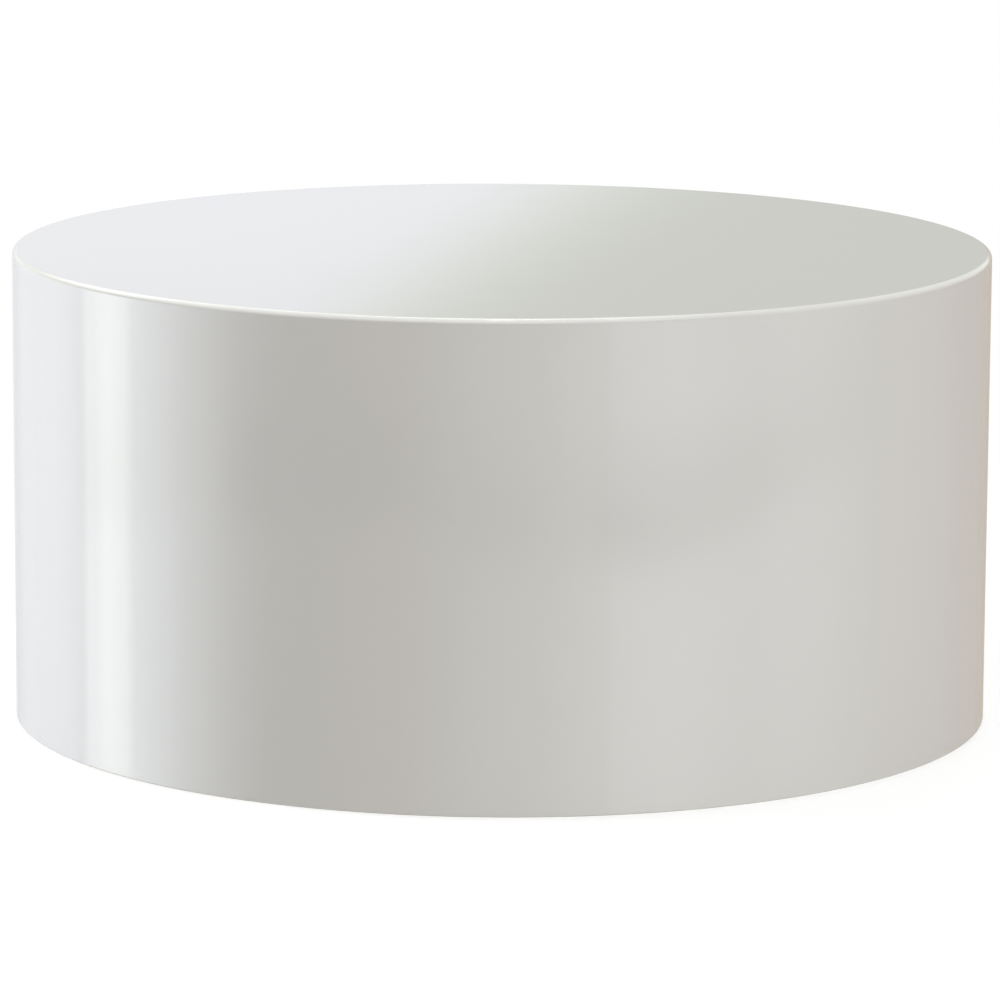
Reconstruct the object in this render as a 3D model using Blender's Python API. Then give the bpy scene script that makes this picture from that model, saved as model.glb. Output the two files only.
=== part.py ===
"""A round drum coffee table with levelling feet.

A rebated top panel closes a bent wall of two half shells. Inside, three rings and a circle of studs hold the
wall round and carry the top. Levelling feet screw into the base ring.

Metres, +Z up. The origin is on the floor at the middle of the drum, with every leveller screwed right in.
"""

import math

import bmesh
import bpy
from mathutils import Matrix, Vector

# The drum as a whole
DRUM_DIAMETER = 0.900
TABLE_HEIGHT = 0.435
FLOOR_GAP = 0.002  # under the wall's lower edge
FIT_GAP = 0.0003  # between two pieces that touch
FACETS_PER_SHELL = 36

# The top panel: its rim lies on the wall, and its rebated plug drops inside the wall
TOP_RIM_THICKNESS = 0.013
TOP_PLUG_DEPTH = 0.012
TOP_EDGE_RADIUS = 0.005
TOP_EDGE_STEPS = 4
TOP_EDGE_SHARE = 0.8  # most of the rim's thickness that the rounded edge may take

# The wall: two half shells that meet at the left and the right, where a batten backs each seam
WALL_THICKNESS = 0.012
BATTEN_THICKNESS = 0.009
BATTEN_FACETS = 2  # facets of the drum that a batten covers

# The rings that hold the wall round
RING_WIDTH = 0.070
BASE_RING_THICKNESS = 0.024
MIDDLE_RING_THICKNESS = 0.018
UPPER_RING_THICKNESS = 0.018

# The studs that stand between the base ring and the upper ring
STUDS_PER_SHELL = 4
STUD_WIDTH = 0.040
STUD_DEPTH = 0.028

# Countersunk wood screws
SCREW_SHANK_DIAMETER = 0.005
SCREW_HEAD_DIAMETER = 0.0095
SCREW_HEAD_LAND = 0.0008
SCREW_HEAD_HEIGHT = 0.0035
SCREW_TIP_LENGTH = 0.005
SCREW_FACETS = 10
STUD_SCREW_BITE = 0.036  # depth of the screw in the stud's end
TOP_SCREW_COVER = 0.008  # top panel left above the screw's tip

# Levelling feet: a pad turns freely on a threaded stem, which screws into a flanged insert
LEVELLERS_PER_SHELL = 2
PAD_DIAMETER = 0.034
PAD_HEIGHT = 0.0075
PAD_LOWER_CHAMFER = 0.0015
PAD_UPPER_CHAMFER = 0.003
PAD_SOCKET_FLOOR = 0.003  # pad left under the stem's end
STEM_DIAMETER = 0.008
STEM_ABOVE_RING = 0.006
STEM_TIP_CHAMFER = 0.001
COLLAR_ACROSS_FLATS = 0.014
COLLAR_HEIGHT = 0.0045
COLLAR_SIDES = 6
INSERT_DIAMETER = 0.012
INSERT_LENGTH = 0.020  # inside the base ring
INSERT_FLANGE_DIAMETER = 0.018
INSERT_FLANGE_THICKNESS = 0.0015
PAD_FACETS = 24
STEM_FACETS = 12

# How far a cut reaches past the face that it opens, and the distance at which points are merged
CUT_MARGIN = 0.001
MERGE_DISTANCE = 1e-6
SMOOTH_ANGLE = math.radians(40)

# Facets and radii of the drum
DRUM_FACETS = 2 * FACETS_PER_SHELL
OUTER_RADIUS = DRUM_DIAMETER / 2
WALL_INNER_RADIUS = OUTER_RADIUS - WALL_THICKNESS
LINING_RADIUS = WALL_INNER_RADIUS - FIT_GAP
RING_INNER_RADIUS = LINING_RADIUS - RING_WIDTH
RING_MIDDLE_RADIUS = LINING_RADIUS - RING_WIDTH / 2

# A flat-faced stud sits clear of the middle of the wall's facets
FACET_APOTHEM = LINING_RADIUS * math.cos(math.pi / DRUM_FACETS)
STUD_FACE_RADIUS = math.sqrt(FACET_APOTHEM**2 - (STUD_WIDTH / 2) ** 2)
STUD_CENTRE_RADIUS = STUD_FACE_RADIUS - STUD_DEPTH / 2

# Heights of the levellers, from the floor up to the base ring that they carry
COLLAR_LOW = PAD_HEIGHT + FIT_GAP
FLANGE_LOW = COLLAR_LOW + COLLAR_HEIGHT + FIT_GAP
BASE_RING_LOW = FLANGE_LOW + INSERT_FLANGE_THICKNESS + FIT_GAP
BASE_RING_HIGH = BASE_RING_LOW + BASE_RING_THICKNESS

# Heights of the top, from the top face down to the upper ring that carries it
WALL_HIGH = TABLE_HEIGHT - TOP_RIM_THICKNESS - FIT_GAP
TOP_UNDERSIDE = TABLE_HEIGHT - TOP_RIM_THICKNESS - TOP_PLUG_DEPTH
UPPER_RING_HIGH = TOP_UNDERSIDE - FIT_GAP
UPPER_RING_LOW = UPPER_RING_HIGH - UPPER_RING_THICKNESS

# The studs and battens stand between the two, and the middle ring lies half-way up them
STUD_LOW = BASE_RING_HIGH + FIT_GAP
STUD_HIGH = UPPER_RING_LOW - FIT_GAP
MIDDLE_RING_LOW = (STUD_LOW + STUD_HIGH - MIDDLE_RING_THICKNESS) / 2
MIDDLE_RING_HIGH = MIDDLE_RING_LOW + MIDDLE_RING_THICKNESS

# Angles round the drum: studs stand half a pitch from the seams, and levellers half-way between two studs
SEAM_ANGLES = {"right": 0.0, "left": math.pi}
STUD_COUNT = 2 * STUDS_PER_SHELL
STUD_PITCH = math.tau / STUD_COUNT
STUD_ANGLES = [(index + 0.5) * STUD_PITCH for index in range(STUD_COUNT)]
TOP_SCREW_ANGLES = [index * STUD_PITCH for index in range(STUD_COUNT)]
STUDS_PER_LEVELLER = STUDS_PER_SHELL / LEVELLERS_PER_SHELL
LEVELLER_ANGLES = [
    round((index + 0.5) * STUDS_PER_LEVELLER) * STUD_PITCH for index in range(2 * LEVELLERS_PER_SHELL)
]

# Screw lengths, from the ring's face to the screw's tip
LOWER_STUD_SCREW_LENGTH = BASE_RING_THICKNESS + FIT_GAP + STUD_SCREW_BITE
UPPER_STUD_SCREW_LENGTH = UPPER_RING_THICKNESS + FIT_GAP + STUD_SCREW_BITE
TOP_SCREW_LENGTH = TABLE_HEIGHT - TOP_SCREW_COVER - UPPER_RING_LOW

UP = Matrix.Identity(4)
DOWN = Matrix.Rotation(math.pi, 4, "X")


def finish(name, colour, roughness, metallic=0.0):
    """A plain Principled material of one linear colour."""
    material = bpy.data.materials.new(name)
    material.use_nodes = True
    shader = material.node_tree.nodes["Principled BSDF"]
    shader.inputs["Base Color"].default_value = (*colour, 1.0)
    shader.inputs["Roughness"].default_value = roughness
    shader.inputs["Metallic"].default_value = metallic
    return material


def add_object(name, shape, material, parent=None, location=(0, 0, 0), turn=0.0):
    """Turns a bmesh into a named object, placed by its location and its turn about Z."""
    bmesh.ops.remove_doubles(shape, verts=shape.verts, dist=MERGE_DISTANCE)
    bmesh.ops.recalc_face_normals(shape, faces=shape.faces)
    mesh = bpy.data.meshes.new(name)
    shape.to_mesh(mesh)
    shape.free()
    mesh.shade_smooth()
    mesh.set_sharp_from_angle(angle=SMOOTH_ANGLE)
    if material:
        mesh.materials.append(material)
    part = bpy.data.objects.new(name, mesh)
    part.parent = parent
    part.location = location
    part.rotation_euler.z = turn
    bpy.context.scene.collection.objects.link(part)
    return part


def add_axis(name, location, parent):
    """An empty that marks an axis and carries the pieces on it."""
    axis = bpy.data.objects.new(name, None)
    axis.parent = parent
    axis.location = location
    bpy.context.scene.collection.objects.link(axis)
    return axis


def add_tool(name, shape, material=None, parent=None):
    """A hidden shape that a Boolean cuts away from a piece or joins to it."""
    tool = add_object(name, shape, material, parent)
    tool.hide_render = True
    tool.display_type = "WIRE"
    return tool


def combine(part, tool, operation):
    modifier = part.modifiers.new(tool.name, "BOOLEAN")
    modifier.operation = operation
    modifier.object = tool


def cut(part, tool):
    combine(part, tool, "DIFFERENCE")


def round_the_drum(radius, angle, height):
    """The point at this radius and angle from the drum's axis."""
    return Vector((radius * math.cos(angle), radius * math.sin(angle), height))


def add_turned(shape, outline, facets, matrix=UP, is_ring=False):
    """Adds an outline of (radius, height) points, spun about Z. A ring's outline closes on itself."""
    points = [shape.verts.new((radius, 0, height)) for radius, height in outline]
    pairs = list(zip(points, points[1:]))
    if is_ring:
        pairs.append((points[-1], points[0]))
    edges = [shape.edges.new(pair) for pair in pairs]
    before = set(shape.verts) - set(points)
    bmesh.ops.spin(
        shape, geom=points + edges, axis=(0, 0, 1), cent=(0, 0, 0), angle=math.tau, steps=facets, use_merge=True
    )
    added = [vert for vert in shape.verts if vert not in before]
    bmesh.ops.transform(shape, matrix=matrix, verts=added)


def turned(outline, facets, is_ring=False):
    shape = bmesh.new()
    add_turned(shape, outline, facets, is_ring=is_ring)
    return shape


def add_bent(shape, inner, outer, low, high, start, sweep, facets):
    """Adds a plate bent about Z: a rectangle of radii and heights swept from the start angle."""
    turn = Matrix.Rotation(start, 3, "Z")
    corners = ((inner, low), (outer, low), (outer, high), (inner, high))
    face = shape.faces.new([shape.verts.new(turn @ Vector((radius, 0, height))) for radius, height in corners])
    section = [face, *face.edges, *face.verts]
    bmesh.ops.spin(shape, geom=section, axis=(0, 0, 1), cent=(0, 0, 0), angle=sweep, steps=facets)


def add_block(shape, size, matrix):
    """Adds a block of this size, centred where the matrix puts it."""
    bmesh.ops.create_cube(shape, size=1.0, matrix=matrix @ Matrix.Diagonal((*size, 1.0)))


def add_prism(shape, sides, radius, low, high):
    """Adds an upright prism with this many sides."""
    matrix = Matrix.Translation((0, 0, (low + high) / 2))
    bmesh.ops.create_cone(
        shape, cap_ends=True, segments=sides, radius1=radius, radius2=radius, depth=high - low, matrix=matrix
    )


def ring_outline(inner, outer, low, high):
    return [(inner, low), (outer, low), (outer, high), (inner, high)]


def arc_points(centre, radius, start, sweep, steps):
    """Points of an arc in a (radius, height) outline."""
    angles = [start + sweep * step / steps for step in range(steps + 1)]
    return [(centre[0] + radius * math.cos(a), centre[1] + radius * math.sin(a)) for a in angles]


def make_top_panel(material, drum):
    edge = min(TOP_EDGE_RADIUS, TOP_EDGE_SHARE * TOP_RIM_THICKNESS)
    edge_centre = (OUTER_RADIUS - edge, TABLE_HEIGHT - edge)
    rim_low = TABLE_HEIGHT - TOP_RIM_THICKNESS
    outline = [
        (0, TABLE_HEIGHT),
        *arc_points(edge_centre, edge, math.pi / 2, -math.pi / 2, TOP_EDGE_STEPS),
        (OUTER_RADIUS, rim_low),
        (LINING_RADIUS, rim_low),
        (LINING_RADIUS, TOP_UNDERSIDE),
        (0, TOP_UNDERSIDE),
    ]
    return add_object("top_panel", turned(outline, DRUM_FACETS), material, drum)


def make_wall_shells(material, drum):
    """The two half shells, front and back, a fit gap apart at the left and right seams."""
    seam = FIT_GAP / 2 / WALL_INNER_RADIUS
    for name, start in (("wall_shell_back", 0.0), ("wall_shell_front", math.pi)):
        shape = bmesh.new()
        add_bent(
            shape, WALL_INNER_RADIUS, OUTER_RADIUS, FLOOR_GAP, WALL_HIGH,
            start + seam, math.pi - 2 * seam, FACETS_PER_SHELL,
        )
        add_object(name, shape, material, drum)


def add_batten(shape, middle, low, high, grow=0.0):
    """Adds the batten behind the seam at this angle. A notch for it grows its sides and its two faces."""
    half_angle = BATTEN_FACETS * math.pi / DRUM_FACETS + grow / LINING_RADIUS
    add_bent(
        shape, LINING_RADIUS - BATTEN_THICKNESS - grow, LINING_RADIUS + grow, low, high,
        middle - half_angle, 2 * half_angle, BATTEN_FACETS,
    )


def make_seam_battens(material, drum):
    for side, middle in SEAM_ANGLES.items():
        shape = bmesh.new()
        add_batten(shape, middle, STUD_LOW, STUD_HIGH)
        add_object(f"seam_batten_{side}", shape, material, drum)


def make_ring(name, low, high, material, drum):
    outline = ring_outline(RING_INNER_RADIUS, LINING_RADIUS, low, high)
    return add_object(name, turned(outline, DRUM_FACETS, is_ring=True), material, drum)


def make_studs(material, drum):
    studs = []
    size = (STUD_DEPTH, STUD_WIDTH, STUD_HIGH - STUD_LOW)
    for number, angle in enumerate(STUD_ANGLES, 1):
        shape = bmesh.new()
        add_block(shape, size, Matrix.Translation((0, 0, size[2] / 2)))
        place = round_the_drum(STUD_CENTRE_RADIUS, angle, STUD_LOW)
        studs.append(add_object(f"stud_{number}", shape, material, drum, place, angle))
    return studs


def batten_notches():
    """A slot in the middle ring for each seam batten, open at the ring's outer edge."""
    shape = bmesh.new()
    for middle in SEAM_ANGLES.values():
        low, high = MIDDLE_RING_LOW - CUT_MARGIN, MIDDLE_RING_HIGH + CUT_MARGIN
        add_batten(shape, middle, low, high, FIT_GAP)
    return shape


def stud_notches():
    """A slot in the middle ring for each stud, open at the ring's outer edge."""
    shape = bmesh.new()
    depth = OUTER_RADIUS - STUD_FACE_RADIUS + STUD_DEPTH + FIT_GAP
    size = (depth, STUD_WIDTH + 2 * FIT_GAP, MIDDLE_RING_THICKNESS + 2 * CUT_MARGIN)
    height = (MIDDLE_RING_LOW + MIDDLE_RING_HIGH) / 2
    for angle in STUD_ANGLES:
        place = round_the_drum(OUTER_RADIUS - depth / 2, angle, height)
        add_block(shape, size, Matrix.Translation(place) @ Matrix.Rotation(angle, 4, "Z"))
    return shape


def screw_outline(length, grow=0.0, lead=0.0):
    """A countersunk screw's outline, head face at 0 and tip up. A hole grows it and leads out of the face."""
    head = SCREW_HEAD_DIAMETER / 2 + grow
    shank = SCREW_SHANK_DIAMETER / 2 + grow
    return [
        (0, -lead),
        (head, -lead),
        (head, SCREW_HEAD_LAND),
        (shank, SCREW_HEAD_HEIGHT),
        (shank, length - SCREW_TIP_LENGTH + grow),
        (0, length + grow),
    ]


def make_screws(name, length, places, direction, material, drum):
    """A screw at each place, and the shape that cuts the holes for all of them."""
    holes = bmesh.new()
    for number, place in enumerate(places, 1):
        shape = bmesh.new()
        add_turned(shape, screw_outline(length), SCREW_FACETS, direction)
        add_object(f"{name}_{number}", shape, material, drum, place)
        hole = screw_outline(length, FIT_GAP, CUT_MARGIN)
        add_turned(holes, hole, SCREW_FACETS, Matrix.Translation(place) @ direction)
    return add_tool(f"{name}_holes", holes)


def make_levellers(finishes, drum):
    """The levelling feet on their axes, and the shape that cuts the inserts' holes in the base ring."""
    holes = bmesh.new()
    for number, angle in enumerate(LEVELLER_ANGLES, 1):
        place = round_the_drum(RING_MIDDLE_RADIUS, angle, 0)
        axis = add_axis(f"leveller_{number}_axis", place, drum)
        make_pad(f"leveller_pad_{number}", finishes["nylon"], axis)
        make_stem(f"leveller_stem_{number}", finishes["steel"], axis)
        make_insert(f"leveller_insert_{number}", finishes["steel"], axis)
        radius = INSERT_DIAMETER / 2 + FIT_GAP
        low, high = BASE_RING_LOW - CUT_MARGIN, BASE_RING_HIGH + CUT_MARGIN
        outline = [(0, low), (radius, low), (radius, high), (0, high)]
        add_turned(holes, outline, PAD_FACETS, Matrix.Translation(place))
    return add_tool("leveller_insert_holes", holes)


def make_pad(name, material, axis):
    """The nylon pad, with a blind socket for the stem's lower end."""
    radius = PAD_DIAMETER / 2
    socket = STEM_DIAMETER / 2 + FIT_GAP
    outline = [
        (0, 0),
        (radius - PAD_LOWER_CHAMFER, 0),
        (radius, PAD_LOWER_CHAMFER),
        (radius, PAD_HEIGHT - PAD_UPPER_CHAMFER),
        (radius - PAD_UPPER_CHAMFER, PAD_HEIGHT),
        (socket, PAD_HEIGHT),
        (socket, PAD_SOCKET_FLOOR),
        (0, PAD_SOCKET_FLOOR),
    ]
    return add_object(name, turned(outline, PAD_FACETS), material, axis)


def make_stem(name, material, axis):
    """The steel stem, joined to the hexagon collar that a spanner turns."""
    radius = STEM_DIAMETER / 2
    low = PAD_SOCKET_FLOOR + FIT_GAP
    high = BASE_RING_HIGH + STEM_ABOVE_RING
    outline = [
        (0, low),
        (radius, low),
        (radius, high - STEM_TIP_CHAMFER),
        (radius - STEM_TIP_CHAMFER, high),
        (0, high),
    ]
    stem = add_object(name, turned(outline, STEM_FACETS), material, axis)
    collar = bmesh.new()
    corner_radius = COLLAR_ACROSS_FLATS / 2 / math.cos(math.pi / COLLAR_SIDES)
    add_prism(collar, COLLAR_SIDES, corner_radius, COLLAR_LOW, COLLAR_LOW + COLLAR_HEIGHT)
    combine(stem, add_tool(f"{name}_collar", collar, material, axis), "UNION")
    return stem


def make_insert(name, material, axis):
    """The flanged insert that is driven into the base ring from below."""
    bore = STEM_DIAMETER / 2 + FIT_GAP
    flange_high = FLANGE_LOW + INSERT_FLANGE_THICKNESS
    outline = [
        (bore, FLANGE_LOW),
        (INSERT_FLANGE_DIAMETER / 2, FLANGE_LOW),
        (INSERT_FLANGE_DIAMETER / 2, flange_high),
        (INSERT_DIAMETER / 2, flange_high),
        (INSERT_DIAMETER / 2, BASE_RING_LOW + INSERT_LENGTH),
        (bore, BASE_RING_LOW + INSERT_LENGTH),
    ]
    return add_object(name, turned(outline, PAD_FACETS, is_ring=True), material, axis)


def main():
    for old in list(bpy.data.objects):
        bpy.data.objects.remove(old)

    finishes = {
        "lacquer": finish("white_lacquer", (0.86, 0.86, 0.84), 0.06),
        "plywood": finish("raw_plywood", (0.62, 0.45, 0.28), 0.65),
        "pine": finish("raw_pine", (0.72, 0.53, 0.32), 0.6),
        "steel": finish("zinc_plated_steel", (0.66, 0.67, 0.68), 0.35, 1.0),
        "nylon": finish("black_nylon", (0.02, 0.02, 0.02), 0.5),
    }
    drum = add_axis("drum", (0, 0, 0), None)

    top_panel = make_top_panel(finishes["lacquer"], drum)
    make_wall_shells(finishes["lacquer"], drum)
    make_seam_battens(finishes["plywood"], drum)
    base_ring = make_ring("base_ring", BASE_RING_LOW, BASE_RING_HIGH, finishes["plywood"], drum)
    middle_ring = make_ring("middle_ring", MIDDLE_RING_LOW, MIDDLE_RING_HIGH, finishes["plywood"], drum)
    upper_ring = make_ring("upper_ring", UPPER_RING_LOW, UPPER_RING_HIGH, finishes["plywood"], drum)
    studs = make_studs(finishes["pine"], drum)

    cut(middle_ring, add_tool("stud_notches", stud_notches()))
    cut(middle_ring, add_tool("batten_notches", batten_notches()))

    lower_places = [round_the_drum(STUD_CENTRE_RADIUS, angle, BASE_RING_LOW) for angle in STUD_ANGLES]
    lower_holes = make_screws(
        "lower_stud_screw", LOWER_STUD_SCREW_LENGTH, lower_places, UP, finishes["steel"], drum
    )
    upper_places = [round_the_drum(STUD_CENTRE_RADIUS, angle, UPPER_RING_HIGH) for angle in STUD_ANGLES]
    upper_holes = make_screws(
        "upper_stud_screw", UPPER_STUD_SCREW_LENGTH, upper_places, DOWN, finishes["steel"], drum
    )
    top_places = [round_the_drum(RING_MIDDLE_RADIUS, angle, UPPER_RING_LOW) for angle in TOP_SCREW_ANGLES]
    top_holes = make_screws("top_screw", TOP_SCREW_LENGTH, top_places, UP, finishes["steel"], drum)
    for stud in studs:
        cut(stud, lower_holes)
        cut(stud, upper_holes)
    cut(upper_ring, upper_holes)
    cut(upper_ring, top_holes)
    cut(top_panel, top_holes)
    cut(base_ring, lower_holes)
    cut(base_ring, make_levellers(finishes, drum))


main()
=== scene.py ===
# %% [markdown]
# # A white lacquered drum table
#
# The table is a plain drum: a round top and a bent wall, both sprayed white and buffed to a mirror.
# Underneath it is open, and there a frame of plywood rings, pine posts, screws and levelling feet shows.
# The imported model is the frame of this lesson. It fixes every size and place, so the pieces below are
# worked out from its boxes.

# %% Open the frame
import math

import bmesh
import bpy
import numpy as np
from mathutils import Matrix, Vector


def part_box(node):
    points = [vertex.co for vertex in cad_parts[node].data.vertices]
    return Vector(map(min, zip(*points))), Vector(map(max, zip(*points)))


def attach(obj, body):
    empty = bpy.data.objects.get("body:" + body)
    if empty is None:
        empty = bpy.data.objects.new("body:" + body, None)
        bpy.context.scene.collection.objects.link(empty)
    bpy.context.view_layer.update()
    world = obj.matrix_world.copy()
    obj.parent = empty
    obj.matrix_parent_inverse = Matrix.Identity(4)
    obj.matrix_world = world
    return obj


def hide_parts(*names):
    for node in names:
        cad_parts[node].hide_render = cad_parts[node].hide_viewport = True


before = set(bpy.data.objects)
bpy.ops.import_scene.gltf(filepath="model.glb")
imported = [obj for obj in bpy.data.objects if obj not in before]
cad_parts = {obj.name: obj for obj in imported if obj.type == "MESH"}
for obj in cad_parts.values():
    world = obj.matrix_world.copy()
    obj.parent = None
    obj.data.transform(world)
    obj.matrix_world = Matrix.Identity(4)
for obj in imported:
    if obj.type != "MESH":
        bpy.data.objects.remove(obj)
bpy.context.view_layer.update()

# %% [markdown]
# ## Sizes
#
# A box of a node gives most sizes directly. What a box can't give, such as the round of an edge, is named
# here in metres, as the real table has it.

# %% Sizes of the drum
FIT_GAP = 0.0003

top_low, top_high = (np.array(corner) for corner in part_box("top_panel"))
wall_low, wall_high = (np.array(corner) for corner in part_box("wall_shell_front"))
ring_high = np.array(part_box("base_ring")[1])

DRUM_RADIUS = top_high[0]
TABLE_HEIGHT = top_high[2]
TOP_UNDERSIDE = top_low[2]
JOINT_HEIGHT = wall_high[2]
WALL_BOTTOM = wall_low[2]
LINING_RADIUS = ring_high[0]
WALL_INNER_RADIUS = LINING_RADIUS + FIT_GAP
TOP_EDGE_RADIUS = 0.005
WALL_LIP_RADIUS = 0.0012
DRUM_COLUMNS = 360
MM_PER_METRE = 1000
across, upward = 2 * DRUM_RADIUS * MM_PER_METRE, TABLE_HEIGHT * MM_PER_METRE
print(f"drum: {across:.0f} mm across, {upward:.0f} mm high")

# %% [markdown]
# ## Surfaces from arrays
#
# Nearly every piece here is turned or carried along a path, so it is a grid of points: rows along one
# parameter and columns along the other. Blender could spin or extrude such shapes too. Arrays keep the
# formula in sight, and they make a thread or a hexagon as easily as a cylinder.

# %% Grids of points and their faces
def arc(centre, radius, start, end, steps):
    """Points on a circle: centre + radius (cos a, sin a), while a goes evenly from start to end, in
    degrees."""
    angles = np.radians(np.linspace(start, end, steps + 1))
    return np.stack([centre[0] + radius * np.cos(angles), centre[1] + radius * np.sin(angles)], axis=1)


def turn(profile, angles):
    """A turned surface: profile point (r, z) at angle a is (r cos a, r sin a, z). Rows are angles."""
    radius, height = np.asarray(profile).T
    angles = np.asarray(angles)[:, None]
    return np.stack([radius * np.cos(angles), radius * np.sin(angles), height + 0 * angles], axis=2)


def full_circle(columns):
    """Angles that go evenly once round, without repeating the first."""
    return np.arange(columns) * math.tau / columns


def skin(grid, rows_close, columns_close, capped=False):
    """The points of a grid and the quads between its neighbours. A direction that closes joins its end to
    its start, and a capped grid has a flat face over its first row and over its last."""
    rows, columns = grid.shape[:2]
    row = np.arange(rows if rows_close else rows - 1)[:, None]
    column = np.arange(columns if columns_close else columns - 1)[None, :]
    next_row = (row + 1) % rows * columns
    next_column = (column + 1) % columns
    row = row * columns
    quads = np.stack([row + column, row + next_column, next_row + next_column, next_row + column], axis=2)
    faces = quads.reshape(-1, 4).tolist()
    if capped:
        faces.append(list(range(columns)))
        faces.append(list(range((rows - 1) * columns, rows * columns)))
    return grid.reshape(-1, 3), faces


# %% From a skin to a piece of the table
MERGE_DISTANCE = 1e-6
SHARP_ANGLE = math.radians(40)


def close_up(mesh):
    """Merges the points that coincide at seams and poles, and turns every face outwards."""
    shape = bmesh.new()
    shape.from_mesh(mesh)
    bmesh.ops.remove_doubles(shape, verts=shape.verts, dist=MERGE_DISTANCE)
    bmesh.ops.recalc_face_normals(shape, faces=shape.faces)
    shape.to_mesh(mesh)
    shape.free()


def add_piece(name, mesh, finish, body, node):
    """Shades a closed mesh smooth between its sharp edges and puts it in the table in place of a node."""
    mesh.shade_smooth()
    mesh.set_sharp_from_angle(angle=SHARP_ANGLE)
    mesh.materials.clear()
    mesh.materials.append(finish)
    piece = bpy.data.objects.new(name, mesh)
    bpy.context.scene.collection.objects.link(piece)
    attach(piece, body)
    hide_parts(node)
    return piece


def make_piece(name, points_and_faces, finish, body, node):
    """A piece from a skin of points and faces."""
    points, faces = points_and_faces
    mesh = bpy.data.meshes.new(name)
    mesh.from_pydata(points, [], faces)
    close_up(mesh)
    return add_piece(name, mesh, finish, body, node)


def second_finish(piece, finish, picks):
    """Gives another finish to the faces that picks chooses by their centres and normals."""
    polygons = piece.data.polygons
    centres = np.empty((len(polygons), 3), np.float32)
    normals = np.empty((len(polygons), 3), np.float32)
    polygons.foreach_get("center", centres.ravel())
    polygons.foreach_get("normal", normals.ravel())
    piece.data.materials.append(finish)
    chosen = picks(centres, normals)
    polygons.foreach_set("material_index", chosen.astype(np.int32))
    return int(chosen.sum())


# %% [markdown]
# ## Colours and nodes
#
# A colour is written as it would be picked from a screen, in sRGB, and shaders work in linear light, so one
# function converts it. One more function adds a node, with its settings and links, and every finish below
# is made with it. Inputs that have no clear name are given by their number.

# %% Helpers for every finish
SMOOTH = {"interpolation_type": "SMOOTHSTEP"}


def linear(colour):
    """Linear red, green, blue and alpha of an sRGB hex colour: c / 12.92 below 0.04045, else ((c + 0.055) /
    1.055)^2.4."""
    parts = np.array([int(colour[at:at + 2], 16) for at in (1, 3, 5)]) / 255
    return (*np.where(parts <= 0.04045, parts / 12.92, ((parts + 0.055) / 1.055) ** 2.4).tolist(), 1.0)


def fill(tree, node, inputs):
    """Fills inputs of a node. A socket is linked, and so is a node, by the first output it has in use. A
    hex colour is converted, and any other value is set as it is."""
    for key, value in dict(inputs).items():
        if isinstance(value, bpy.types.Node):
            value = next(output for output in value.outputs if output.enabled)
        if isinstance(value, bpy.types.NodeSocket):
            tree.links.new(value, node.inputs[key])
        else:
            node.inputs[key].default_value = linear(value) if isinstance(value, str) else value


def add_node(tree, kind, inputs=(), **settings):
    """Adds a node with these settings and inputs."""
    node = tree.nodes.new("ShaderNode" + kind)
    for name, value in settings.items():
        setattr(node, name, value)
    fill(tree, node, inputs)
    return node


def new_finish(name):
    """A material with its Principled shader, and the Object coordinates that its patterns read."""
    material = bpy.data.materials.new(name)
    material.use_nodes = True
    tree = material.node_tree
    coordinates = add_node(tree, "TexCoord")
    return material, tree, tree.nodes["Principled BSDF"], coordinates.outputs


# %% [markdown]
# ## White gloss lacquer
#
# Polyurethane lacquer is sprayed in several coats over filler, flatted with fine paper and buffed. It gives
# the eye a slightly warm white under a clear mirror. The mirror isn't perfect: spraying leaves a fine
# orange peel, the bent board below leaves long upright waves, and buffing leaves the gloss a little uneven.
# Along the lower edge, darker patches are painted shade where the wall meets the floor, and the lacquer
# there is rougher. A bump of real micrometre heights gives the peel and the waves.

# %% The lacquer
LACQUER_WHITE = "#EEEDE9"
LACQUER_SHADE = "#EBEAE5"
LACQUER_CONTACT_SHADE = "#C9C5BC"
LACQUER_IOR = 1.5
TONE_PATCH = 0.300
BUFFING_PATCH = 0.060
PEEL_WIDTH = 0.0035
PEEL_HEIGHT = 0.000006
WAVE_WIDTH = 0.070
WAVE_STRETCH = 0.15
WAVE_HEIGHT = 0.00004
CONTACT_SHADE_HEIGHT = 0.004
CONTACT_SHADE_PATCH = 0.006
CONTACT_SHADE_SHARE = 0.55
CONTACT_SHADE_FAINT, CONTACT_SHADE_FULL = 0.24, 0.42
LOWER_EDGE_ROUGHNESS = 0.25
NOISE_LOW, NOISE_HIGH = 0.3, 0.7
BUFFED_WELL, BUFFED_LESS = 0.035, 0.055

lacquer, tree, shader, space = new_finish("white_gloss_lacquer")
patches = add_node(tree, "TexNoise", {"Vector": space["Object"], "Scale": 1 / TONE_PATCH, "Detail": 3.0})
tone = add_node(tree, "Mix", {0: patches, 6: LACQUER_SHADE, 7: LACQUER_WHITE}, data_type="RGBA")
height = add_node(tree, "SeparateXYZ", {0: space["Object"]})
# Painted contact shade: the colour darkens in patches over the lowest few millimetres of the wall, where it
# meets the floor. The same mask makes the lacquer rougher there.
near_floor = add_node(
    tree, "MapRange",
    {0: height.outputs["Z"], 1: WALL_BOTTOM, 2: WALL_BOTTOM + CONTACT_SHADE_HEIGHT, 3: CONTACT_SHADE_SHARE, 4: 0.0},
)
contact_shade_patches = add_node(
    tree, "TexNoise", {"Vector": space["Object"], "Scale": 1 / CONTACT_SHADE_PATCH, "Detail": 6.0, "Roughness": 0.7}
)
contact_shade_mask = add_node(tree, "Math", {0: contact_shade_patches, 1: near_floor}, operation="MULTIPLY")
shaded_rough_edge = add_node(tree, "MapRange", {0: contact_shade_mask, 1: CONTACT_SHADE_FAINT, 2: CONTACT_SHADE_FULL}, **SMOOTH)
colour = add_node(tree, "Mix", {0: shaded_rough_edge, 6: tone, 7: LACQUER_CONTACT_SHADE}, data_type="RGBA")
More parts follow.
